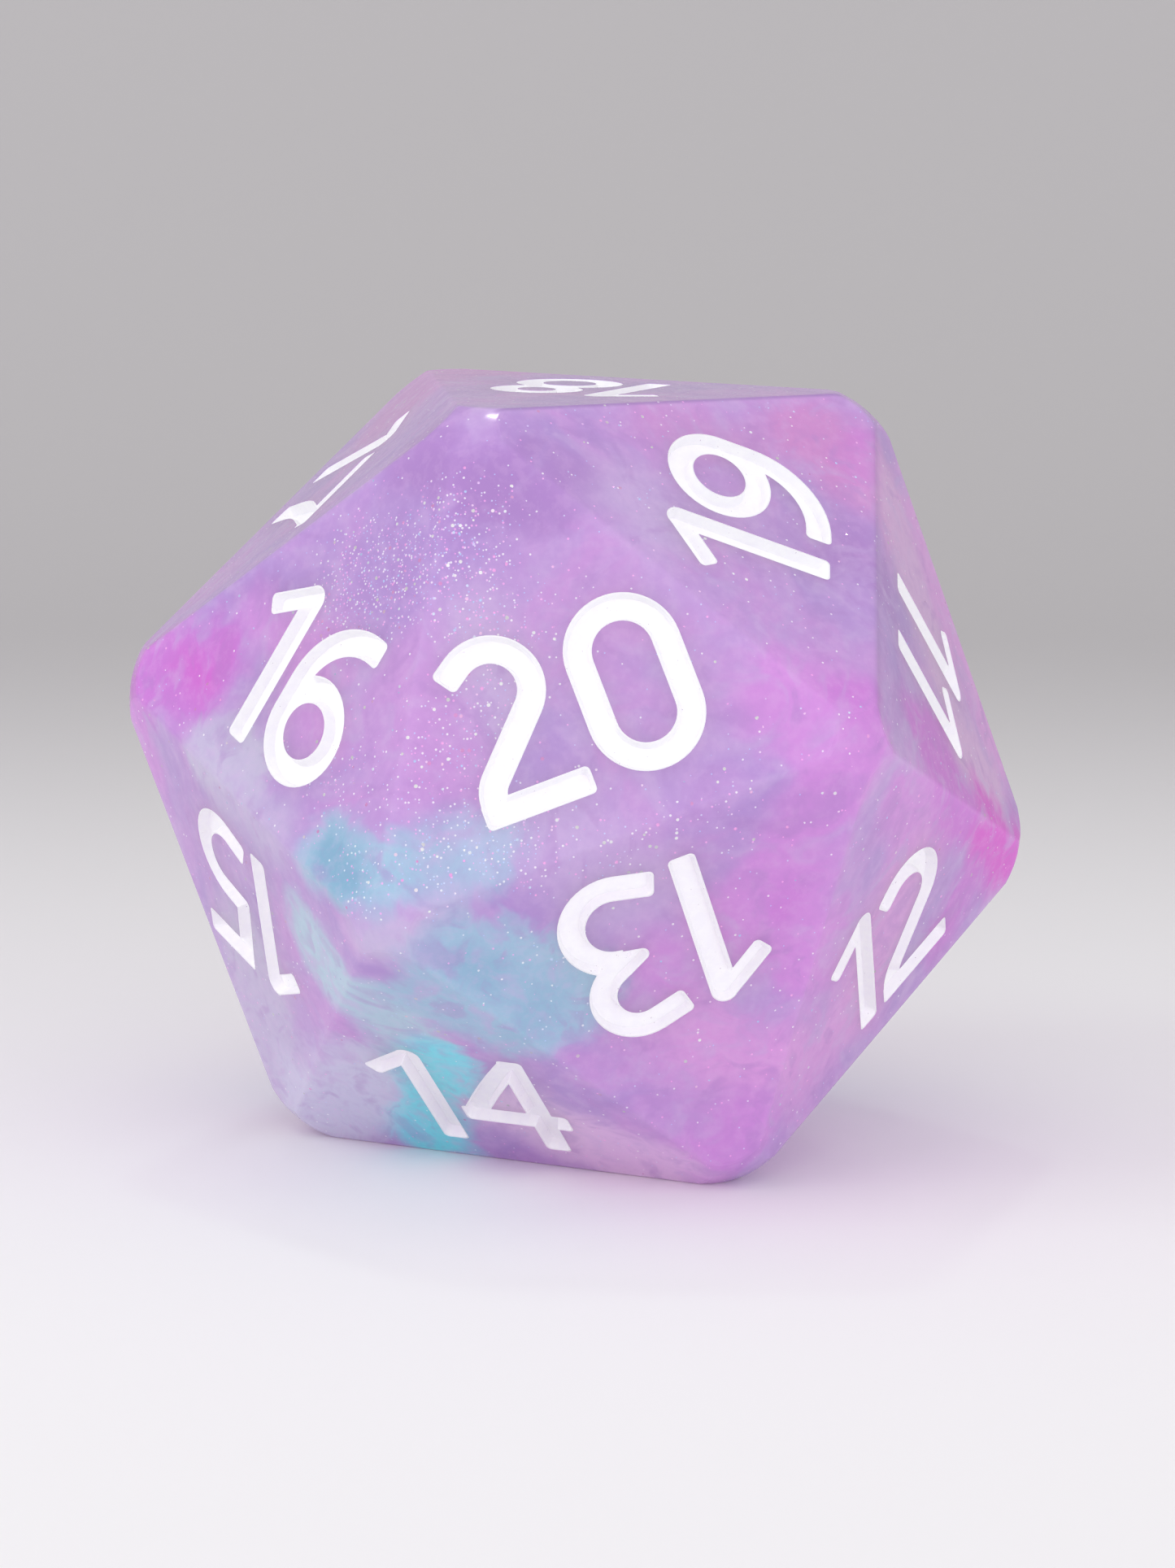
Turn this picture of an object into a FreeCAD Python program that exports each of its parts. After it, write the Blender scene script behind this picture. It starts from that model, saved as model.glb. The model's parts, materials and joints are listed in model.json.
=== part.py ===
import FreeCAD, Part
import math
import os

# A twenty-sided countdown die: one cast resin icosahedron with softened edges and corners,
# and in each of its twenty faces an engraved numeral filled with white paint.
# The numbers run round the die so that each one touches the next, and 20 lies opposite 1.
# Millimetres, +Z up. The die lies on its "4" face with "18" on top, as a die comes to rest.
# The origin is the middle of the face that it rests on, and one edge of that face runs along Y.

V = FreeCAD.Vector
doc = FreeCAD.newDocument("die")

# ---------------------------------------------------------------- sizes

SIZES = (
    ("across_flats", 33.0, "between opposite faces"),
    ("edge_round", 0.4, "radius along the thirty edges and round the twelve corners"),
    ("corner_ball_depth", 5.8, "sharp corner to the middle of the ball that rounds it"),
    ("corner_ball_share", 0.86, "that ball's radius, as a share of its depth"),
    ("digit_scale", 1.0, "1 makes the digits 7.5 tall"),
    ("groove_depth", 0.75, "engraving, below the face"),
    ("wall_slope", 0.25, "run of the engraved walls for each unit of depth"),
    ("cutter_rise", 0.4, "how far the engraving tool stands above the face"),
    ("paint_film", 0.25, "paint on the floor of the engraving"),
    ("paint_recess", 0.02, "top of the paint, below the face"),
)

sheet = doc.addObject("Spreadsheet::Sheet", "Sizes")
for row, (alias, value, note) in enumerate(SIZES, start=1):
    sheet.set(f"A{row}", alias)
    sheet.set(f"B{row}", str(value))
    sheet.set(f"C{row}", note)
    sheet.setAlias(f"B{row}", alias)
doc.recompute()

STROKE = 1.2
FLAG = 0.95
END_ROUND = 0.25
DIGIT_HEIGHT = 7.5
DIGIT_GAP = 0.5


def bind(feature, **expressions):
    """Drive named properties from the sheet; double underscores stand for dots."""
    for name, text in expressions.items():
        feature.setExpression(name.replace("__", "."), text)


def scaled(value):
    """A length drawn for a digit 7.5 tall, following the digit scale."""
    return f"{value:.9f} * Sizes.digit_scale"


def bind_base(feature, x, y, z):
    """Drive the position of a feature from three expressions."""
    bind(feature, Placement__Base__x=x, Placement__Base__y=y, Placement__Base__z=z)


def feature(kind, name):
    return doc.addObject(kind, name)


def group(name, members):
    """Several solids held together without being fused."""
    made = feature("Part::Compound", name)
    made.Links = members
    return made


def fused(name, members):
    made = feature("Part::MultiFuse", name)
    made.Shapes = members
    made.Refine = True
    return made


def cut(name, base, tool):
    made = feature("Part::Cut", name)
    made.Base = base
    made.Tool = tool
    return made


# ---------------------------------------------------------------- engraving strokes
# Every stroke is a groove with a flat floor and walls that open towards the face.
# It is drawn in the plane of the face: x to the right, y up, z out of the face.

INWARD = "Sizes.groove_depth * Sizes.wall_slope"
OUTWARD = "Sizes.cutter_rise * Sizes.wall_slope"


def round_free_ends(name, wedge, start, end, free):
    """Round the upright corners at the free ends of a straight groove."""
    doc.recompute()
    along = (end - start).normalize()
    length = (end - start).Length
    picked = []
    for index, edge in enumerate(wedge.Shape.Edges, start=1):
        low, high = edge.Vertexes[0].Point, edge.Vertexes[-1].Point
        if abs(low.z - high.z) < 0.5:
            continue
        reach = (edge.CenterOfMass - start).dot(along)
        if (free[0] and reach < length / 2) or (free[1] and reach > length / 2):
            picked.append((index, END_ROUND, END_ROUND))
    if not picked:
        return wedge
    rounded = feature("Part::Fillet", name)
    rounded.Base = wedge
    rounded.Edges = picked
    return rounded


def straight(name, start, end, width, free):
    """A straight groove; a free end slopes and is rounded, a joined one is upright."""
    along = (end - start).normalize()
    length = scaled((end - start).Length)
    half = scaled(width / 2)
    wedge = feature("Part::Wedge", name)
    bind(
        wedge,
        Ymin="-Sizes.groove_depth",
        Ymax="Sizes.cutter_rise",
        Xmin=INWARD if free[0] else "0",
        X2min=f"-({OUTWARD})" if free[0] else "0",
        Xmax=f"{length} - {INWARD}" if free[1] else length,
        X2max=f"{length} + {OUTWARD}" if free[1] else length,
        Zmin=f"-({half} - {INWARD})",
        Zmax=f"{half} - {INWARD}",
        Z2min=f"-({half} + {OUTWARD})",
        Z2max=f"{half} + {OUTWARD}",
    )
    across = along.cross(V(0, 0, 1))
    wedge.Placement = FreeCAD.Placement(V(0, 0, 0), FreeCAD.Rotation(along, V(0, 0, 1), across))
    bind_base(wedge, scaled(start.x), scaled(start.y), "0")
    return round_free_ends(name + "_ends", wedge, start, end, free)


def tapered_disc(name, centre, radius, sign=1, start=0.0, sweep=360.0):
    """A conical plug under the tool: sign 1 narrows with depth, -1 widens with it."""
    cone = feature("Part::Cone", name)
    flip = "-" if sign > 0 else "+"
    flop = "+" if sign > 0 else "-"
    bind(
        cone,
        Radius1=f"{scaled(radius)} {flip} {INWARD}",
        Radius2=f"{scaled(radius)} {flop} {OUTWARD}",
        Height="Sizes.groove_depth + Sizes.cutter_rise",
    )
    cone.Angle = sweep
    cone.Placement = FreeCAD.Placement(V(0, 0, 0), FreeCAD.Rotation(V(0, 0, 1), start))
    bind_base(cone, scaled(centre.x), scaled(centre.y), "-Sizes.groove_depth")
    return cone


def bend(name, centre, radius, start, sweep, width):
    """A groove along an arc; start and sweep in degrees, anticlockwise."""
    outer = tapered_disc(name + "_outer", centre, radius + width / 2, 1, start, sweep)
    inner = tapered_disc(name + "_inner", centre, radius - width / 2, -1)
    return cut(name, outer, inner)


def stroke(name, start, heading, moves, width=STROKE, free=(True, True)):
    """Follow a path: a number goes ahead that far, a pair turns (degrees, radius), + is left."""
    made = []
    point = V(start[0], start[1], 0)
    for step, move in enumerate(moves):
        label = f"{name}_{step}"
        facing = V(math.cos(math.radians(heading)), math.sin(math.radians(heading)), 0)
        left = V(-facing.y, facing.x, 0)
        if isinstance(move, tuple):
            turn, radius = move
            side = 1 if turn > 0 else -1
            centre = point + left * (side * radius)
            spoke = heading - 90 * side
            first = spoke if turn > 0 else spoke + turn
            made.append(bend(label, centre, radius, first, abs(turn), width))
            heading += turn
            spoke += turn
            reach = V(math.cos(math.radians(spoke)), math.sin(math.radians(spoke)), 0)
            point = centre + reach * radius
            continue
        ahead = point + facing * move
        ends = (free[0] and step == 0, free[1] and step == len(moves) - 1)
        made.append(straight(label, point, ahead, width, ends))
        point = ahead
    return made


def ring(name, centre, radius, width=STROKE):
    return [bend(name, V(centre[0], centre[1], 0), radius, 0.0, 360.0, width)]


def dot(name, centre, radius=STROKE / 2):
    return [tapered_disc(name, V(centre[0], centre[1], 0), radius)]


# ---------------------------------------------------------------- the ten digits
# Each starts at its own lower left corner. JOINED ends lie inside another stroke.

JOINED = (False, False)
START = (True, False)
END = (False, True)


def nine(name):
    bowl = ring(name + "_bowl", (2.4, 5.16), 1.8)
    tail = stroke(name + "_tail", (4.2, 5.16), -90, (1.45, (-90, 3.18), 0.5), free=END)
    return bowl + tail


def draw_digit(digit, name):
    """The strokes of one digit and its width."""
    if digit == 0:
        sides = (2.7, (-180, 1.85), 2.7, (-180, 1.85))
        return stroke(name, (0.6, 2.4), 90, sides, free=JOINED), 4.9
    if digit == 1:
        stem = stroke(name + "_stem", (2.45, 6.9), -90, (6.9,), free=END)
        flag = stroke(name + "_flag", (0.25, 5.44), 36, (2.64,), FLAG, START)
        return stem + flag + dot(name + "_top", (2.45, 6.9)), 3.05
    if digit == 2:
        moves = (0.96, (-168.8, 1.69), 3.305, (43.8, 1.3), 0.55)
        curve = stroke(name + "_curve", (0.335, 6.323), 35, moves, free=START)
        foot = stroke(name + "_foot", (0.03, 0.6), 0, (4.72,))
        return curve + foot, 4.75
    if digit == 3:
        upper = stroke(name + "_upper", (0.41, 6.675), 15, (1.535, (-165, 1.525), 0.95), free=START)
        lower = stroke(name + "_lower", (2.469, 3.863), -12.5, (0.3, (-182.5, 1.79), 1.72), free=END)
        tip = dot(name + "_tip", (1.66, 3.825), 0.31)
        tip += stroke(name + "_tip_rise", (1.66, 3.825), 30, (1.0,), 0.62, JOINED)
        tip += stroke(name + "_tip_fall", (1.66, 3.825), -12.5, (1.0,), 0.62, JOINED)
        return upper + lower + tip, 4.8
    if digit == 4:
        stem = stroke(name + "_stem", (3.75, 7.5), -90, (7.5,))
        bar = stroke(name + "_bar", (0.05, 2.5), 0, (5.0,))
        slant = stroke(name + "_slant", (0.58, 2.5), 60.1, ((-8.05, 38.0),), 1.05, JOINED)
        return stem + bar + slant, 5.05
    if digit == 5:
        stem = stroke(name + "_stem", (0.97, 3.9), 84, (3.0,), free=JOINED)
        bar = stroke(name + "_bar", (0.7, 6.87), 0, (3.77,), 1.25)
        bowl = stroke(name + "_bowl", (0.42, 4.048), -8, (1.903, (-190, 1.75), 1.39))
        return stem + bar + bowl, 4.5
    if digit == 7:
        bar = stroke(name + "_bar", (0.0, 6.9), 0, (4.95,))
        slant = stroke(name + "_slant", (4.33, 6.95), -118.8, (2.3, (17, 10.8), 1.98), free=END)
        return bar + slant, 4.95
    if digit == 8:
        top = ring(name + "_upper", (2.35, 5.6), 1.42)
        bottom = ring(name + "_lower", (2.35, 2.1), 1.75)
        return top + bottom, 4.7
    return nine(name), 4.8


def paint_in(name, groove):
    """White paint that lines an engraving: the groove less the same groove raised by a film."""
    below = feature("Part::Box", name + "_below")
    bind(
        below,
        Length=scaled(2 * DIGIT_HEIGHT),
        Width=scaled(2 * DIGIT_HEIGHT),
        Height="2 * Sizes.groove_depth",
    )
    corner = scaled(-DIGIT_HEIGHT / 2)
    bind_base(below, corner, corner, "-2 * Sizes.groove_depth - Sizes.paint_recess")
    filled = feature("Part::Common", name + "_filled")
    filled.Base = groove
    filled.Tool = below
    raised = group(name + "_raised", [groove])
    bind(raised, Placement__Base__z="Sizes.paint_film")
    return cut(name, filled, raised)


grooves = {}
paints = {}
widths = {}
for digit in (0, 1, 2, 3, 4, 5, 7, 8, 9):
    strokes, widths[digit] = draw_digit(digit, f"d{digit}")
    grooves[digit] = fused(f"groove_{digit}", strokes)
    paints[digit] = paint_in(f"paint_of_{digit}", grooves[digit])

# A dot marks 6 and 9 apart; the 6 is the 9 turned upside down.
period = dot("period", (0.6, 0.6))[0]
grooves["."] = group("groove_dot", [period])
paints["."] = paint_in("paint_of_dot", grooves["."])
widths["."] = 1.2
widths[6] = widths[9]


def upside_down(name, source):
    turned = group(name, [source])
    turned.Placement = FreeCAD.Placement(V(0, 0, 0), FreeCAD.Rotation(V(0, 0, 1), 180))
    bind_base(turned, scaled(widths[9]), scaled(DIGIT_HEIGHT), "0")
    return turned


grooves[6] = upside_down("groove_6", grooves[9])
paints[6] = upside_down("paint_of_6", paints[9])

# ---------------------------------------------------------------- the twenty faces
# Corner "T" is the one that 16 to 20 point to, and "B" is opposite. Two rings of five
# corners lie between them: u0..u4 near T and l0..l4 near B, half a step round from u.

corners = {"T": V(0, 0, 1), "B": V(0, 0, -1)}
ring_height = 1 / math.sqrt(5)
ring_radius = 2 / math.sqrt(5)
for k in range(5):
    upper = math.radians(72 * k - 36)
    lower = math.radians(72 * k)
    corners[f"u{k}"] = V(ring_radius * math.cos(upper), ring_radius * math.sin(upper), ring_height)
    corners[f"l{k}"] = V(ring_radius * math.cos(lower), ring_radius * math.sin(lower), -ring_height)

# number: the corner its numeral points to, then the other two
faces = {}
for k in range(5):
    after = (k + 1) % 5
    faces[(20, 19, 18, 17, 16)[k]] = ("T", f"u{k}", f"u{after}")
    faces[(13, 11, 9, 7, 15)[k]] = (f"l{k}", f"u{k}", f"u{after}")
    faces[(12, 10, 8, 6, 14)[k]] = (f"u{after}", f"l{k}", f"l{after}")
    faces[(3, 2, 1, 5, 4)[k]] = ("B", f"l{k}", f"l{after}")

# How far each numeral stands off the middle of its face: right, up.
OFFSET = (0.0, -0.5)
OFFSETS = {
    19: (0.0, -0.45),
    17: (-0.5, -1.0),
    16: (-0.3, -0.75),
    15: (0.6, 0.1),
    14: (-0.25, -1.05),
    13: (-0.15, -0.65),
    12: (0.0, -1.0),
    11: (-0.5, 0.0),
}

# The die stands in the part's frame on face 4: that face down, the edge from l0 to B along Y.
face_up = V(0, 0, 0)
for corner in faces[18]:
    face_up += corners[corner]
face_up.normalize()
edge_along = (corners["B"] - corners["l0"]).normalize()
side = edge_along.cross(face_up)
resting = FreeCAD.Rotation(side, edge_along, face_up).inverted()


def on_face(number):
    """Rotation of the face frame and the outward normal, in the die's own frame."""
    tip, left, right = (corners[c] for c in faces[number])
    middle = (tip + left + right) * (1 / 3)
    normal = V(middle).normalize()
    up = (tip - middle).normalize()
    across = up.cross(normal)
    return FreeCAD.Rotation(across, up, normal), normal


def bind_to_flats(item, direction, lift):
    """Position as shares of the distance across flats."""
    texts = [f"{value:.12f} * Sizes.across_flats" for value in (direction.x, direction.y, direction.z + lift)]
    bind_base(item, *texts)


def numeral(number, name, source):
    """The digits of one number, centred on the face, in the frame of the face."""
    digits = [int(c) for c in str(number)]
    if number in (6, 9):
        digits.append(".")
    total = sum(widths[d] for d in digits) + DIGIT_GAP * (len(digits) - 1)
    shift, rise = OFFSETS.get(number, OFFSET)
    x = shift - total / 2
    y = rise - DIGIT_HEIGHT / 2
    placed = []
    for place, digit in enumerate(digits):
        one = group(f"{name}_{place}", [source[digit]])
        bind_base(one, scaled(x), scaled(y), "0")
        placed.append(one)
        x += widths[digit] + DIGIT_GAP
    return group(name, placed)


# ---------------------------------------------------------------- resin blank
# Ten pairs of parallel faces, each pair the two sides of one slab.

BLOCK = 1.4
slabs = []
for number in (20, 19, 18, 17, 16, 13, 11, 9, 7, 15):
    turn, normal = on_face(number)
    slab = feature("Part::Box", f"slab_{number}")
    bind(
        slab,
        Length=f"{BLOCK} * Sizes.across_flats",
        Width=f"{BLOCK} * Sizes.across_flats",
        Height="Sizes.across_flats",
    )
    slab.Placement = FreeCAD.Placement(V(0, 0, 0), turn)
    bind_to_flats(slab, turn.multVec(V(-BLOCK / 2, -BLOCK / 2, -0.5)), 0)
    slabs.append(slab)
sharp = feature("Part::MultiCommon", "sharp_blank")
sharp.Shapes = slabs

# Each corner is turned down to a ball whose middle lies under it. The tool for this is drawn
# once, for a corner on -X, and starts level with the feet of the ball's radii on the edges.
CORNER_SHARE = 0.5 / 0.7946544722917662
FOOT = math.cos(math.radians(58.28252558853899)) ** 2
plug = feature("Part::Cylinder", "corner_plug")
bind(plug, Radius="Sizes.across_flats / 2", Height="Sizes.corner_ball_depth")
plug.Placement = FreeCAD.Placement(V(0, 0, 0), FreeCAD.Rotation(V(0, 0, 1), V(-1, 0, 0)))
tip_at = f"{CORNER_SHARE:.12f} * Sizes.across_flats"
bind(plug, Placement__Base__x=f"-({tip_at} - {FOOT:.12f} * Sizes.corner_ball_depth)")
ball = feature("Part::Sphere", "corner_ball")
bind(
    ball,
    Radius="Sizes.corner_ball_share * Sizes.corner_ball_depth",
    Placement__Base__x=f"-({tip_at} - Sizes.corner_ball_depth)",
)
corner_tool = cut("corner_tool", plug, ball)
corner_tools = []
for name, direction in corners.items():
    tool = group(f"corner_{name}", [corner_tool])
    tool.Placement = FreeCAD.Placement(V(0, 0, 0), FreeCAD.Rotation(V(-1, 0, 0), direction))
    corner_tools.append(tool)
turned = cut("turned_blank", sharp, group("all_corners", corner_tools))
doc.recompute()

blank = feature("Part::Fillet", "blank")
blank.Base = turned
edge_round = sheet.get("edge_round")
blank.Edges = [(i, float(edge_round), float(edge_round)) for i in range(1, len(turned.Shape.Edges) + 1)]

# ---------------------------------------------------------------- named sub-parts

nodes = []
engraving = []
for number in range(1, 21):
    turn, normal = on_face(number)
    tool = numeral(number, f"engrave_{number:02d}", grooves)
    tool.Placement = FreeCAD.Placement(V(0, 0, 0), turn)
    bind_to_flats(tool, normal * 0.5, 0)
    engraving.append(tool)

    paint = numeral(number, f"paint_{number:02d}", paints)
    paint.Placement = FreeCAD.Placement(V(0, 0, 0), resting * turn)
    bind_to_flats(paint, resting.multVec(normal) * 0.5, 0.5)
    nodes.append(paint)

body = cut("resin_body", blank, group("all_engraving", engraving))
body.Placement = FreeCAD.Placement(V(0, 0, 0), resting)
bind_to_flats(body, V(0, 0, 0), 0.5)
nodes.insert(0, body)

doc.recompute()

# ---------------------------------------------------------------- checks and export

os.makedirs("parts", exist_ok=True)
for item in doc.Objects:
    wrong = [word for word in ("Invalid", "Error") if word in item.State]
    if wrong:
        raise RuntimeError(f"{item.Name} is {wrong[0]}")
    if not hasattr(item, "Shape"):
        continue
    if item.Shape.isNull() or not item.Shape.isValid():
        raise RuntimeError(f"{item.Name} has no valid shape")
for node in nodes:
    node.Shape.exportStep(f"parts/{node.Label}.step")
    solids = node.Shape.Solids
    print(node.Label, len(solids), "solids", round(node.Shape.Volume, 3), "mm3")
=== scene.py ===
import json
import math

import bpy
from mathutils import Matrix, Vector


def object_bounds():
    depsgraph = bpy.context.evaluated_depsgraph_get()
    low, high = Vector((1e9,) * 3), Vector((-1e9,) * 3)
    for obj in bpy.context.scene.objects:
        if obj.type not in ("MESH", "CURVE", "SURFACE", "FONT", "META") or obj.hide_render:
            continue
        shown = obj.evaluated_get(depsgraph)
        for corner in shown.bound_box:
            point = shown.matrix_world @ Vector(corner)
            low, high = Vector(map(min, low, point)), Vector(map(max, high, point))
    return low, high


# A cast resin twenty-sided die on pale paper. Metres, in the frame of the CAD part: the die lies
# on its 4 face with the middle of that face at the origin, and the 20 face looks along -Y.

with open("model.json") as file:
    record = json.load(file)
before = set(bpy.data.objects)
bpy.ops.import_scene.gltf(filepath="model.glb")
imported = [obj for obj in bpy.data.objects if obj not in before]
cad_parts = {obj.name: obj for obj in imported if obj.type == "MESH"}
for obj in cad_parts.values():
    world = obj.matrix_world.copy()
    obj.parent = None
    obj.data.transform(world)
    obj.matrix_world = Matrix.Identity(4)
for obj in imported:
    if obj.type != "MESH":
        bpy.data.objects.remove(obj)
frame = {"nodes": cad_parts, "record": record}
cad_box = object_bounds()
MIDDLE = (cad_box[0] + cad_box[1]) / 2

MM = 0.001
WHITE = (1.0, 1.0, 1.0, 1.0)


def colour(red, green, blue):
    """A colour as seen on screen, 0 to 255, as the linear light that shaders work in."""
    linear = []
    for channel in (red, green, blue):
        level = channel / 255
        linear.append(level / 12.92 if level <= 0.04045 else ((level + 0.055) / 1.055) ** 2.4)
    return (*linear, 1.0)


# ---------------------------------------------------------------- node helper


class Graph:
    """A material's node tree, built by calls that take sockets or plain values.

    No node has its clamp on: Cycles adds such clamps late, and the values that wait for them
    would fill its stack, which turns a material with this many nodes black.
    """

    def __init__(self, name):
        self.material = bpy.data.materials.new(name)
        self.material.use_nodes = True
        self.tree = self.material.node_tree
        self.tree.nodes.clear()

    def feed(self, socket, value):
        """Link a socket to an input, or set the input to a plain value."""
        if isinstance(value, bpy.types.NodeSocket):
            self.tree.links.new(value, socket)
        elif value is not None:
            socket.default_value = value

    def add(self, kind, settings=None, **inputs):
        node = self.tree.nodes.new(kind)
        for key, value in (settings or {}).items():
            setattr(node, key, value)
        for key, value in inputs.items():
            self.feed(node.inputs[key.replace("_", " ")], value)
        return node

    def math(self, operation, first, second=None, third=None):
        node = self.tree.nodes.new("ShaderNodeMath")
        node.operation = operation
        for socket, value in zip(node.inputs, (first, second, third)):
            self.feed(socket, value)
        return node.outputs[0]

    def vector(self, operation, first, second=None, scale=None):
        """Vector maths. The result is the node's number where the operation gives one."""
        node = self.tree.nodes.new("ShaderNodeVectorMath")
        node.operation = operation
        self.feed(node.inputs[0], first)
        self.feed(node.inputs[1], second)
        self.feed(node.inputs[3], scale)
        return node.outputs[1 if operation in ("LENGTH", "DISTANCE", "DOT_PRODUCT") else 0]

    def mix(self, factor, first, second):
        """The first colour where the factor is 0, and the second where it is 1."""
        node = self.add("ShaderNodeMix", {"data_type": "RGBA"})
        self.feed(node.inputs[0], factor)
        self.feed(node.inputs[6], first)
        self.feed(node.inputs[7], second)
        return node.outputs[2]

    def mix_vectors(self, factor, first, second):
        node = self.add("ShaderNodeMix", {"data_type": "VECTOR"})
        self.feed(node.inputs[0], factor)
        self.feed(node.inputs[4], first)
        self.feed(node.inputs[5], second)
        return node.outputs[1]

    def smooth(self, value, low, high, to_low=0.0, to_high=1.0):
        """An even step from one level to the other as the value goes from low to high."""
        node = self.add(
            "ShaderNodeMapRange",
            {"interpolation_type": "SMOOTHSTEP", "clamp": False},
            Value=value, From_Min=low, From_Max=high, To_Min=to_low, To_Max=to_high,
        )
        return node.outputs[0]

    def noise(self, where, scale, detail=2.0, roughness=0.5, distortion=0.0):
        return self.add(
            "ShaderNodeTexNoise", None,
            Vector=where, Scale=scale, Detail=detail, Roughness=roughness, Distortion=distortion,
        )

    def millimetres(self):
        """Position on the object, in millimetres."""
        place = self.add("ShaderNodeTexCoord")
        return self.vector("SCALE", place.outputs["Object"], scale=1 / MM)

    def finish(self, shader):
        self.add("ShaderNodeOutputMaterial", None, Surface=shader)
        return self.material


# ---------------------------------------------------------------- resin
# The pigments of the cast, matched to the photograph: most were set at or near the median colour
# of small patches of it, and then adjusted against renders.

LAVENDER = colour(190, 157, 214)
LILAC = colour(198, 172, 218)
WISTERIA = colour(178, 146, 208)
VIOLET = colour(174, 133, 199)
HEATHER = colour(199, 151, 214)
ORCHID = colour(208, 144, 218)
MAGENTA = colour(204, 118, 212)
FUCHSIA = colour(216, 88, 206)
ROSE = colour(206, 140, 203)
BLUSH = colour(214, 174, 218)
PINK = colour(218, 158, 220)
SHELL = colour(228, 192, 232)
MIST = colour(197, 187, 218)
HAZE = colour(208, 204, 230)
SKY = colour(184, 193, 226)
TEAL = colour(162, 196, 219)
DEEP_TEAL = colour(134, 178, 205)
# Lighter than the pigment, as painted glow where light comes up through the resin from the paper.
AQUA_WITH_PAINTED_GLOW = colour(124, 224, 238)
SAGE = colour(180, 206, 222)
EDGE_SHADE_PLUM = colour(150, 112, 178)
ICE = colour(190, 214, 255)
PETAL = colour(255, 178, 240)
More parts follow.
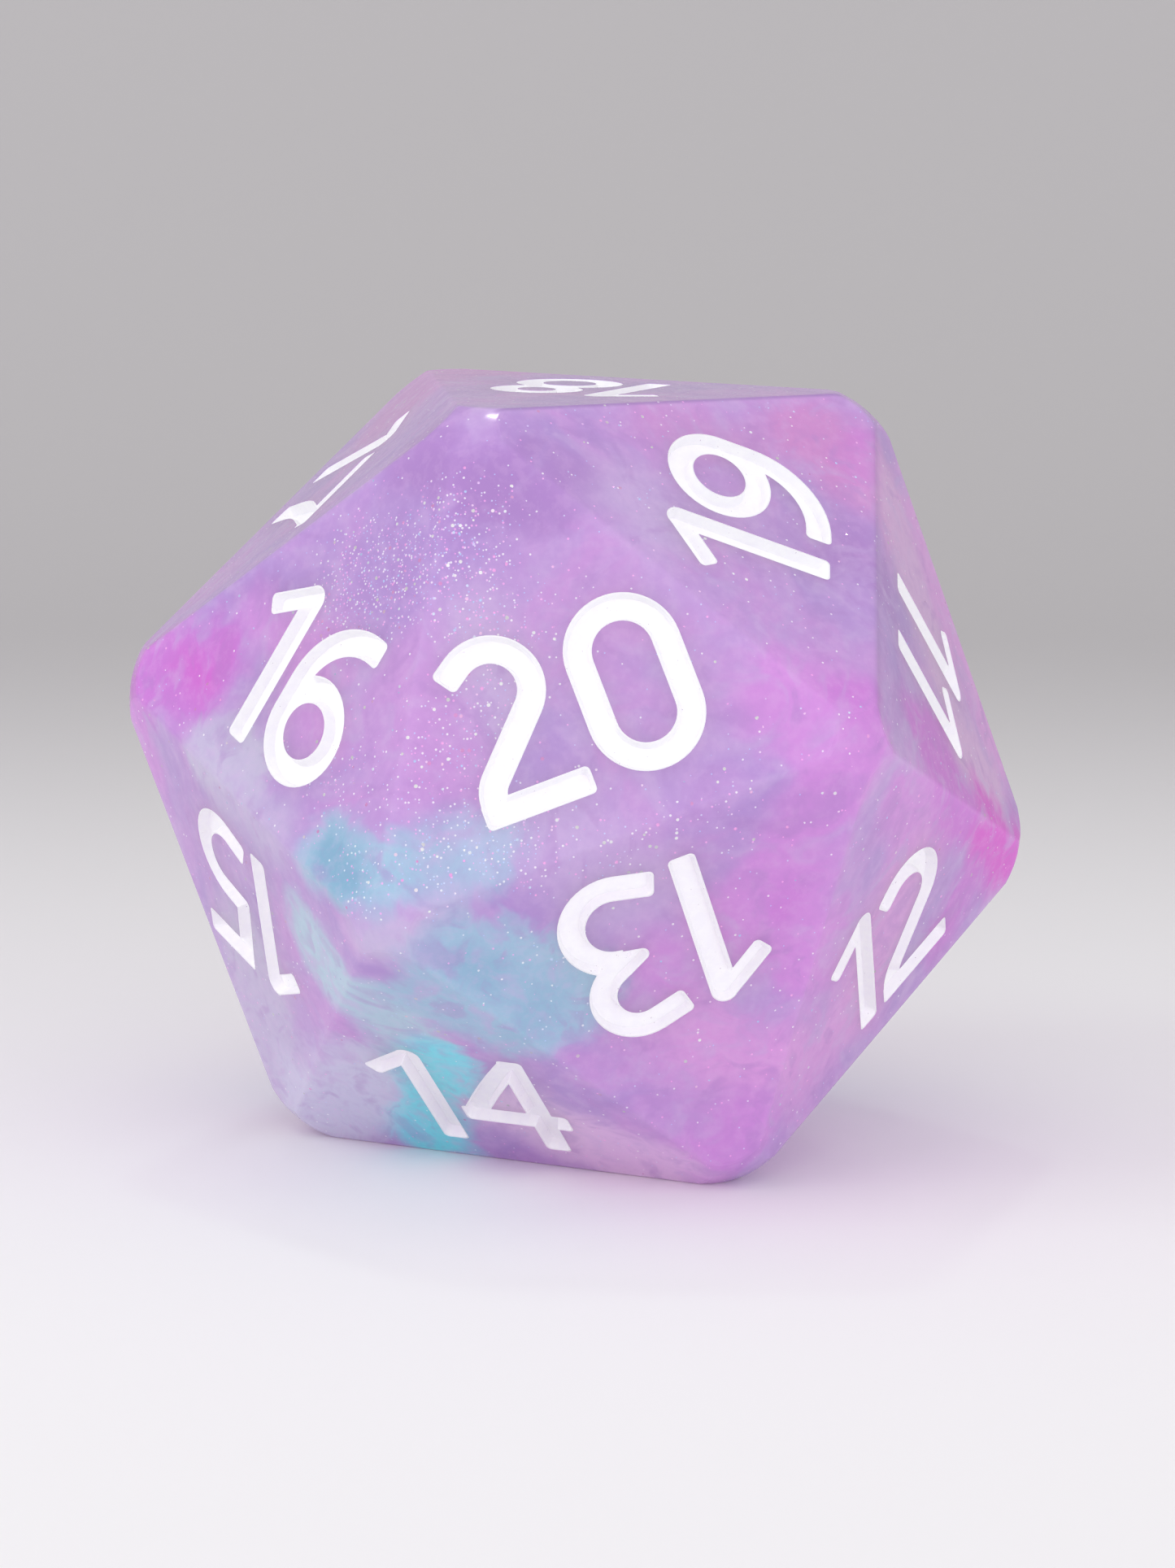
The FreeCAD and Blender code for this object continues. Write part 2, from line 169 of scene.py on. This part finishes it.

# Clouds of pigment, later ones over earlier ones; the lowest, by the paper, are lightened too, as
# painted glow. Each is a ball, or a streak between two places: place, other end, radius and
# softness of the rim in millimetres, colour, and how solid it is.
# On the faces in view they were written from places read off the photograph through the
# fitted camera, and then adjusted against renders. Those on the sides and back are invented.
CLOUDS = (
    # the 16 face and the corner left of it
    ((-16.2, -3.6, 23.8), (-12.0, -8.4, 26.0), 1.5, 1.2, WISTERIA, 0.9),
    ((-9.5, -11.5, 26.0), (-7.0, -12.5, 28.5), 2.6, 1.6, WISTERIA, 0.9),
    ((-14.8, -4.4, 24.6), (-13.6, -6.0, 24.8), 0.6, 0.7, VIOLET, 0.9),
    ((-14.6, -5.8, 23.6), (-12.0, -9.6, 22.2), 1.2, 0.9, ORCHID, 0.8),
    ((-12.8, -9.6, 20.8), (-11.2, -12.0, 19.6), 1.3, 1.0, ORCHID, 0.6),
    ((-19.2, -1.2, 20.2), (-16.8, -4.6, 21.2), 2.2, 1.2, MAGENTA, 0.85),
    ((-17.4, -3.8, 21.6), (-16.4, -4.8, 21.4), 0.8, 1.0, FUCHSIA, 0.7),
    ((-16.8, -6.0, 18.0), (-14.4, -8.8, 17.8), 1.5, 0.7, MIST, 1.0),
    ((-16.0, -7.0, 16.0), (-13.4, -10.8, 15.4), 1.2, 1.2, MIST, 0.7),
    ((-18.8, -1.0, 16.0), (-19.2, -0.8, 18.0), 1.3, 0.9, ORCHID, 0.8),
    ((-8.6, -14.6, 22.0), (-7.4, -15.8, 19.4), 2.2, 1.4, HEATHER, 1.0),
    # the 20 face
    ((-8.0, -9.6, 31.2), (-5.2, -11.8, 30.0), 2.0, 1.2, VIOLET, 1.0),
    ((-3.4, -12.4, 29.8), (-1.0, -12.0, 30.6), 1.6, 1.0, VIOLET, 0.85),
    ((0.6, -11.4, 29.6), (1.6, -12.0, 28.4), 1.7, 1.4, LILAC, 0.9),
    ((-5.8, -13.9, 25.0), (-4.8, -15.4, 21.2), 1.4, 1.2, LILAC, 0.9),
    ((7.0, -16.6, 22.0), (9.6, -17.4, 19.6), 2.4, 1.0, ORCHID, 1.0),
    ((9.4, -16.4, 21.8), (10.6, -15.8, 21.8), 0.9, 0.8, MAGENTA, 0.6),
    ((8.6, -17.2, 18.4), (7.2, -16.4, 14.8), 1.9, 1.2, ORCHID, 0.9),
    # the 19 face
    ((2.6, -6.8, 32.2), (6.0, -6.6, 31.4), 1.5, 1.0, ROSE, 0.5),
    ((9.4, -4.0, 31.4), (12.4, -4.4, 28.8), 2.4, 1.3, ROSE, 0.95),
    ((11.6, -4.4, 29.8), (12.0, -3.2, 30.8), 0.9, 0.8, MAGENTA, 0.5),
    ((10.4, -9.4, 27.0), (11.0, -8.6, 24.6), 1.6, 1.2, VIOLET, 0.9),
    # the 11 and 12 faces, right
    ((13.2, -3.6, 28.0), (15.4, -4.6, 21.6), 2.4, 1.4, BLUSH, 0.9),
    ((14.8, 0.0, 28.0), (18.8, -1.0, 17.6), 2.2, 1.2, PINK, 0.9),
    ((13.4, -11.6, 17.4), (15.6, -7.6, 15.6), 1.8, 1.0, MAGENTA, 0.95),
    ((13.2, -11.0, 19.8), (15.6, -6.8, 18.2), 1.6, 0.8, MAGENTA, 0.9),
    ((12.0, -14.0, 18.0), (13.2, -11.6, 15.4), 1.7, 1.0, ORCHID, 1.0),
    ((16.4, -5.6, 18.4), (17.8, -3.2, 16.2), 1.8, 1.0, BLUSH, 1.0),
    ((17.2, -5.2, 15.0), (18.8, -2.0, 12.6), 1.7, 0.9, FUCHSIA, 1.0),
    ((16.8, -4.4, 12.0), (15.4, -4.8, 10.0), 1.3, 1.0, MAGENTA, 0.8),
    ((12.8, -9.8, 13.0), (11.4, -9.8, 9.4), 2.4, 1.6, PINK, 0.85),
    ((11.8, -8.4, 7.8), (9.0, -11.2, 5.2), 2.0, 1.2, PINK, 0.8),
    # the 13 face
    ((6.8, -16.0, 14.4), (5.2, -15.4, 12.4), 2.0, 1.0, ORCHID, 1.0),
    ((6.4, -15.4, 12.8), (9.2, -13.8, 10.6), 2.2, 1.0, ORCHID, 1.0),
    ((7.2, -16.0, 13.8), (6.6, -15.6, 13.0), 0.6, 0.8, MAGENTA, 0.6),
    ((0.4, -16.7, 14.2), (-2.2, -17.3, 16.0), 2.2, 1.6, LILAC, 0.8),
    ((2.8, -15.0, 9.8), (1.6, -15.2, 11.0), 1.1, 0.9, ORCHID, 0.9),
    ((3.8, -13.8, 7.4), (6.8, -13.0, 6.0), 1.9, 1.4, PINK, 0.9),
    ((5.6, -11.8, 2.6), (4.0, -11.0, 1.2), 1.9, 1.0, ORCHID, 0.9),
    # Partly pigment, partly painted glow: a light cloud along the underside by the paper, over the
    # shade there.
    ((2.4, -9.4, 0.8), (-3.6, -9.8, 2.6), 2.4, 1.3, SHELL, 1.0),
    # the 14 and 15 faces, low on the left
    ((-13.6, -1.6, 3.6), (-14.6, -3.4, 8.0), 3.0, 1.6, MIST, 0.9),
    ((-11.6, -3.4, 1.2), (-9.0, -7.0, 4.0), 3.0, 1.2, HAZE, 1.0),
    ((-10.8, -15.6, 12.0), (-9.4, -16.4, 11.6), 0.9, 0.6, HEATHER, 0.9),
    ((-9.6, -16.4, 12.2), (-7.4, -16.6, 12.6), 1.4, 1.0, MIST, 0.9),
    ((-12.0, -14.2, 15.0), (-10.2, -16.4, 15.0), 1.7, 0.8, TEAL, 0.95),
    ((-11.7, -14.7, 14.9), (-10.9, -15.6, 14.7), 1.2, 0.8, DEEP_TEAL, 1.0),
    ((-8.2, -17.0, 15.2), (-5.8, -17.2, 15.6), 1.4, 1.1, TEAL, 0.85),
    ((-5.9, -17.1, 16.2), (-5.0, -17.0, 16.4), 1.0, 0.8, SKY, 0.8),
    ((-12.2, -11.0, 10.8), (-9.4, -13.0, 8.4), 1.8, 1.0, SAGE, 1.0),
    ((-9.0, -12.8, 8.0), (-7.6, -10.6, 6.0), 2.0, 1.2, SAGE, 0.9),
    ((-6.4, -16.4, 10.8), (-2.6, -15.4, 9.4), 2.5, 0.9, TEAL, 0.95),
    ((-7.6, -14.6, 8.8), (-4.4, -14.6, 7.4), 1.7, 0.9, TEAL, 0.95),
    ((-6.2, -16.4, 10.8), (-5.4, -16.2, 10.2), 0.9, 1.0, DEEP_TEAL, 0.6),
    ((-3.2, -15.6, 9.6), (-3.4, -15.0, 8.2), 0.8, 1.0, DEEP_TEAL, 0.5),
    # Partly pigment, partly painted glow: aqua lightened at the foot of the 14 face, over its shade
    # by the paper.
    ((-6.8, -10.6, 5.8), (-6.8, -4.4, 0.6), 1.7, 0.9, AQUA_WITH_PAINTED_GLOW, 1.0),
    # the sides and back
    ((2.0, 14.0, 24.0), (5.0, 15.0, 20.0), 2.6, 1.2, ORCHID, 0.9),
    ((-9.0, 13.0, 18.0), (-6.0, 15.0, 15.0), 2.4, 0.8, TEAL, 0.9),
    ((12.0, 12.0, 12.0), (15.0, 8.0, 9.0), 3.0, 1.4, SKY, 0.8),
    ((-3.0, 15.0, 9.0), (1.0, 14.0, 6.0), 2.4, 1.2, MAGENTA, 0.8),
    ((17.0, 5.0, 20.0), (15.0, 9.0, 22.0), 2.4, 1.0, SAGE, 0.8),
    ((6.0, 16.4, 16.0), (8.4, 14.6, 12.4), 2.0, 1.2, PINK, 0.9),
    ((-6.6, 13.6, 26.0), (-2.2, 15.0, 24.6), 2.2, 1.2, VIOLET, 0.9),
    ((-4.4, 16.6, 12.0), (-8.0, 14.0, 9.6), 2.0, 1.0, MIST, 1.0),
    ((13.6, 9.4, 15.8), (11.6, 12.6, 18.6), 1.6, 0.9, MAGENTA, 0.8),
    ((8.6, 9.6, 3.4), (12.0, 6.0, 5.8), 2.4, 1.2, TEAL, 0.9),
    ((-16.0, 8.0, 12.0), (-17.0, 5.0, 16.0), 2.4, 1.0, MAGENTA, 0.8),
    ((-8.0, 4.0, 32.0), (-4.0, 9.0, 32.0), 3.0, 1.6, ROSE, 0.7),
    ((8.0, 8.0, 28.0), (4.0, 12.0, 28.0), 3.0, 1.4, WISTERIA, 0.9),
    ((-12.0, 8.0, 4.0), (-6.0, 10.0, 2.0), 3.0, 1.4, AQUA_WITH_PAINTED_GLOW, 0.7),
)

# Painted shade: dark lines along the rounded edges beside the 19 face, where refraction darkens
# them, given as the clouds are.
PAINTED_EDGE_SHADE = (
    ((-5.6, -10.5, 33.0), (12.3, -0.2, 33.0), 0.12, 0.12, EDGE_SHADE_PLUM, 0.7),
    ((12.4, -0.6, 32.4), (10.6, -15.8, 21.4), 0.25, 0.45, EDGE_SHADE_PLUM, 0.35),
)

# Where the glitter gathered: place, other end, radius, and share of the places that hold a flake.
GLITTER = (
    ((-10.6, -9.8, 25.4), (-6.6, -12.6, 27.6), 4.2, 1.1),
    ((-6.6, -15.4, 20.0), (-5.0, -14.0, 24.0), 3.8, 0.5),
    ((-12.0, -13.0, 18.0), (-4.0, -17.0, 17.0), 2.6, 0.4),
    ((-10.0, -16.0, 14.6), (-4.6, -17.2, 15.6), 2.4, 0.6),
    ((-3.0, -17.0, 16.0), (4.0, -17.2, 17.0), 2.6, 0.2),
)


def drift(graph, where, reach, scale, seed):
    """Push a position about by a slow noise, so that whatever it draws is swirled."""
    apart = 17.0
    pushes = []
    for axis in range(3):
        shifted = graph.vector("ADD", where, (seed, apart * axis, -seed))
        wobble = graph.noise(shifted, scale, 1.5).outputs["Fac"]
        pushes.append(graph.math("MULTIPLY_ADD", wobble, reach, -0.5 * reach))
    push = graph.add("ShaderNodeCombineXYZ", None, X=pushes[0], Y=pushes[1], Z=pushes[2])
    return graph.vector("ADD", where, push.outputs[0])


def away_from(graph, where, start, end):
    """Distance from the straight line between two places."""
    start, end = Vector(start), Vector(end)
    reach = end - start
    offset = graph.vector("SUBTRACT", where, tuple(start))
    along = graph.vector("DOT_PRODUCT", offset, tuple(reach / reach.length_squared))
    along = graph.math("MINIMUM", graph.math("MAXIMUM", along, 0.0), 1.0)
    nearest = graph.vector("SCALE", tuple(reach), scale=along)
    return graph.vector("DISTANCE", offset, nearest)


def cloud_colour(graph, where):
    """Lavender resin with wisps, then each cloud laid over it, then painted shade lines along two
    edges.
    """
    swirled = drift(graph, drift(graph, where, 9.0, 0.075, 3.0), 2.4, 0.33, 11.0)
    wisps = graph.noise(swirled, 0.16, 3.0, 0.55, 0.4).outputs["Fac"]
    veins = graph.noise(swirled, 0.34, 4.0, 0.6, 0.8).outputs["Fac"]
    smoke = graph.noise(swirled, 0.62, 3.0, 0.52, 0.5).outputs["Fac"]
    shade = graph.mix(graph.smooth(wisps, 0.36, 0.64), WISTERIA, HEATHER)
    shade = graph.mix(graph.smooth(veins, 0.42, 0.66, 0.0, 0.7), shade, LAVENDER)

    # The wisps tug at the clouds, and the smoke makes their rims ragged. The two noises are about
    # 1 together, so the tug is taken off again once, and the clouds stay in place.
    tug = Vector((0.8, -0.8, 0.8))
    tugged = graph.vector("SCALE", tuple(tug), scale=graph.math("ADD", smoke, veins))
    near = graph.vector("ADD", drift(graph, where, 2.2, 0.30, 7.0), tugged)
    near = graph.vector("ADD", near, tuple(-tug))
    ragged = graph.math("MULTIPLY_ADD", smoke, 2.6, -1.3)
    for start, end, radius, rim, tint, share in CLOUDS:
        away = away_from(graph, near, start, end)
        away = graph.math("MULTIPLY_ADD", ragged, min(1.0, 0.45 * radius), away)
        shade = graph.mix(graph.smooth(away, radius + rim, radius - rim, 0.0, share), shade, tint)

    # Smoke over the clouds, then a fine mottle, then the painted shade lines along the edges.
    shade = graph.mix(graph.smooth(smoke, 0.50, 0.72, 0.0, 0.40), shade, LILAC)
    shade = graph.mix(graph.smooth(smoke, 0.48, 0.30, 0.0, 0.40), shade, VIOLET)
    mottle = graph.noise(where, 1.7, 4.0, 0.65).outputs["Fac"]
    shade = graph.mix(graph.smooth(mottle, 0.46, 0.66, 0.0, 0.12), shade, SHELL)
    shade = graph.mix(graph.smooth(mottle, 0.50, 0.32, 0.0, 0.12), shade, VIOLET)
    # Painted shade: dark plum lines where refraction darkens the rounded edges.
    for start, end, radius, rim, tint, share in PAINTED_EDGE_SHADE:
        away = away_from(graph, where, start, end)
        shade = graph.mix(graph.smooth(away, radius + rim, radius - rim, 0.0, share), shade, tint)
    return shade


def glitter_share(graph, where):
    """How much glitter is about: a little all over, and more where it gathered."""
    loose = drift(graph, where, 3.0, 0.3, 5.0)
    total = 0.06
    for start, end, radius, share in GLITTER:
        away = away_from(graph, loose, start, end)
        total = graph.math("ADD", total, graph.smooth(away, radius, 0.0, 0.0, share))
    return graph.math("MINIMUM", total, 1.0)


def flakes(graph, where, cell, size, share, seed):
    """Flakes scattered one to a cell: whether one is here, its tint, and three random numbers.

    Cell and size are in millimetres, and share is the share of the cells that hold a flake.
    """
    shifted = graph.vector("ADD", where, (seed, seed, seed))
    cells = graph.add("ShaderNodeTexVoronoi", {"feature": "F1"}, Vector=shifted, Scale=1 / cell)
    luck = cells.outputs["Color"]
    first, second, third = graph.add("ShaderNodeSeparateColor", None, Color=luck).outputs
    present = graph.math("LESS_THAN", first, share)
    radius = graph.math("MULTIPLY_ADD", second, 0.3 * size / cell, 0.35 * size / cell)
    inside = graph.math("LESS_THAN", cells.outputs["Distance"], radius)
    cool = graph.mix(graph.smooth(second, 0.3, 0.7), ICE, WHITE)
    tint = graph.mix(graph.smooth(third, 0.55, 0.75), cool, PETAL)
    return graph.math("MULTIPLY", present, inside), tint, luck


def resin_material():
    graph = Graph("resin")
    where = graph.millimetres()
    shade = cloud_colour(graph, where)
    share = glitter_share(graph, where)

    coarse_share = graph.math("MULTIPLY", share, 0.40)
    coarse, coarse_tint, luck = flakes(graph, where, 0.27, 0.13, coarse_share, 0.0)
    fine_share = graph.math("MULTIPLY", share, 0.75)
    fine, fine_tint, _ = flakes(graph, where, 0.14, 0.08, fine_share, 40.0)
    shade = graph.mix(graph.math("MULTIPLY", fine, 0.6), shade, fine_tint)
    shade = graph.mix(graph.math("MULTIPLY", coarse, 0.85), shade, coarse_tint)

    # Each coarse flake lies at its own slant, so some catch the light.
    level = graph.add("ShaderNodeNewGeometry").outputs["Normal"]
    slant = graph.vector("SCALE", graph.vector("SUBTRACT", luck, (0.5, 0.5, 0.5)), scale=1.1)
    slanted = graph.vector("NORMALIZE", graph.vector("ADD", level, slant))
    facing = graph.mix_vectors(coarse, level, slanted)

    scuffs = graph.noise(where, 6.0, 3.0, 0.6).outputs["Fac"]
    milky = graph.add(
        "ShaderNodeBsdfPrincipled",
        {"subsurface_method": "RANDOM_WALK"},
        Base_Color=shade,
        Metallic=graph.math("MULTIPLY", coarse, 0.4),
        Roughness=graph.smooth(scuffs, 0.3, 0.8, 0.14, 0.22),
        IOR=1.5,
        Normal=facing,
        Subsurface_Weight=0.45,
        Subsurface_Radius=(1.0, 0.8, 1.0),
        Subsurface_Scale=5.0 * MM,
    )

    # Lamps shine through the resin, tinted, so the die's shadow is pale and coloured.
    through = graph.add("ShaderNodeBsdfTransparent", None, Color=(0.70, 0.58, 0.70, 1.0))
    kind = graph.add("ShaderNodeLightPath")
    either = graph.add("ShaderNodeMixShader")
    graph.feed(either.inputs[0], kind.outputs["Is Shadow Ray"])
    graph.feed(either.inputs[1], milky.outputs[0])
    graph.feed(either.inputs[2], through.outputs[0])
    return graph.finish(either.outputs[0])


# ---------------------------------------------------------------- paint


def paint_material():
    """White acrylic, brushed on, with a few pinholes."""
    graph = Graph("paint")
    where = graph.millimetres()
    brushed = graph.noise(where, 2.2, 4.0, 0.6).outputs["Fac"]
    specks = graph.noise(where, 9.0, 2.0, 0.5).outputs["Fac"]
    shade = graph.mix(graph.smooth(brushed, 0.3, 0.7), colour(250, 249, 254), colour(254, 254, 255))
    pinhole = graph.smooth(specks, 0.73, 0.78)
    shade = graph.mix(graph.math("MULTIPLY", pinhole, 0.7), shade, colour(150, 120, 160))
    bump = graph.add("ShaderNodeBump", None, Strength=0.35, Distance=0.00005, Height=brushed)
    body = graph.add(
        "ShaderNodeBsdfPrincipled", None,
        Base_Color=shade,
        Roughness=graph.smooth(brushed, 0.2, 0.8, 0.5, 0.7),
        Normal=bump.outputs[0],
        Subsurface_Weight=0.25,
        Subsurface_Radius=(1.0, 1.0, 1.0),
        Subsurface_Scale=0.3 * MM,
    )
    return graph.finish(body.outputs[0])


def dress_nodes():
    """Give every CAD node the material of its slot in the record."""
    finishes = {"resin": resin_material(), "paint": paint_material()}
    slots = {part["node"]: part["material_slot"] for part in frame["record"]["subparts"]}
    for name, item in frame["nodes"].items():
        for slot in item.material_slots:
            slot.material = finishes[slots[name]]
        # The film of paint is thin enough to let light through to the resin behind it.
        item.visible_shadow = slots[name] != "paint"


# ---------------------------------------------------------------- stage


def paper_material():
    """Near-white paper with painted shade: it turns grey towards the back and up the wall, where
    less light reaches it.
    """
    graph = Graph("paper")
    place = graph.add("ShaderNodeTexCoord").outputs["Object"]
    parts = graph.add("ShaderNodeSeparateXYZ", None, Vector=place)
    away = graph.math("ADD", parts.outputs["Y"], parts.outputs["Z"])
    painted_falloff = graph.smooth(away, -0.03, 0.17)
    fibre = graph.noise(place, 900.0, 3.0, 0.6).outputs["Fac"]
    # Painted shade: grey where the backdrop gets less light, near-white in front.
    shade = graph.mix(painted_falloff, colour(246, 244, 245), colour(184, 181, 182))
    bump = graph.add("ShaderNodeBump", None, Strength=0.08, Distance=0.0001, Height=fibre)
    body = graph.add(
        "ShaderNodeBsdfPrincipled", None,
        Base_Color=shade, Roughness=0.75, Specular_IOR_Level=0.25, Normal=bump.outputs[0],
    )
    return graph.finish(body.outputs[0])


def paper_sweep():
    """A sheet of paper that lies flat under the die and curves up behind it."""
    front, flat = -0.9, 0.16
    bend, steps = 0.25, 24
    wall, half = 0.36, 1.1
    profile = [(front, 0.0), (flat, 0.0)]
    for step in range(1, steps + 1):
        angle = math.pi / 2 * step / steps
        profile.append((flat + bend * math.sin(angle), bend * (1 - math.cos(angle))))
    profile.append((flat + bend, wall))
    points = []
    for y, z in profile:
        points += [(-half, y, z), (half, y, z)]
    faces = [(2 * i, 2 * i + 1, 2 * i + 3, 2 * i + 2) for i in range(len(profile) - 1)]
    mesh = bpy.data.meshes.new("paper")
    mesh.from_pydata(points, [], faces)
    mesh.polygons.foreach_set("use_smooth", [True] * len(faces))
    mesh.materials.append(paper_material())
    paper = bpy.data.objects.new("paper", mesh)
    bpy.context.scene.collection.objects.link(paper)


def softbox(name, place, size, watts, glints=True):
    """A lamp turned to the die. Without glints it lights things, but nothing mirrors it."""
    lamp = bpy.data.lights.new(name, "AREA")
    lamp.shape = "RECTANGLE"
    lamp.size, lamp.size_y = size
    lamp.energy = watts
    item = bpy.data.objects.new(name, lamp)
    item.location = place
    item.visible_glossy = glints
    item.rotation_euler = (MIDDLE - Vector(place)).to_track_quat("-Z", "Y").to_euler()
    bpy.context.scene.collection.objects.link(item)


def sky():
    """Soft light from all round, strongest from the front, left and above."""
    towards, dim, bright = (-0.30, -0.80, 0.50), 0.42, 1.06
    world = bpy.data.worlds.new("studio")
    world.use_nodes = True
    nodes, links = world.node_tree.nodes, world.node_tree.links
    direction = nodes.new("ShaderNodeTexCoord").outputs["Generated"]
    leaning = nodes.new("ShaderNodeVectorMath")
    leaning.operation = "DOT_PRODUCT"
    leaning.inputs[1].default_value = towards
    links.new(direction, leaning.inputs[0])
    level = nodes.new("ShaderNodeMapRange")
    level.inputs["From Min"].default_value = -1.0
    level.inputs["To Min"].default_value = dim
    level.inputs["To Max"].default_value = bright
    links.new(leaning.outputs["Value"], level.inputs["Value"])
    backdrop = nodes["Background"]
    backdrop.inputs["Color"].default_value = (0.98, 0.98, 1.0, 1.0)
    links.new(level.outputs[0], backdrop.inputs["Strength"])
    bpy.context.scene.world = world


def lighting():
    """The sky, a window on the left, a low fill on the right, and a small lamp that glints."""
    sky()
    softbox("window", (-0.55, -0.15, 0.42), (0.3, 0.3), 0.85, glints=False)
    softbox("fill", (0.35, -0.50, 0.06), (0.4, 0.12), 0.42, glints=False)
    softbox("ceiling", (-0.02, 0.36, 0.80), (0.07, 0.05), 0.40)


# ---------------------------------------------------------------- camera
# Lens and sensor in millimetres, angles in degrees: the heading turns from +Y towards +X, and a
# tilt below zero looks down. The camera stands at CAMERA_DISTANCE from the place it aims at.

LENS = 111.5
SENSOR = 36.0
CAMERA_DISTANCE = 0.21326
CAMERA_HEADING = 6.19
CAMERA_TILT = -9.575
CAMERA_ROLL = 1.155
AIM = Vector((0.00036, -0.00018, 0.01565))


def camera():
    data = bpy.data.cameras.new("camera")
    data.lens = LENS
    data.sensor_width = SENSOR
    data.clip_start = 0.01
    heading, tilt = math.radians(CAMERA_HEADING), math.radians(CAMERA_TILT)
    ahead = Vector((
        math.sin(heading) * math.cos(tilt),
        math.cos(heading) * math.cos(tilt),
        math.sin(tilt),
    ))
    turn = ahead.to_track_quat("-Z", "Y").to_matrix().to_4x4()
    roll = Matrix.Rotation(math.radians(CAMERA_ROLL), 4, "Z")
    item = bpy.data.objects.new("camera", data)
    item.matrix_world = Matrix.Translation(AIM - ahead * CAMERA_DISTANCE) @ turn @ roll
    bpy.context.scene.collection.objects.link(item)
    bpy.context.scene.camera = item


bpy.context.scene.view_settings.view_transform = "Standard"
camera()
paper_sweep()
lighting()
dress_nodes()
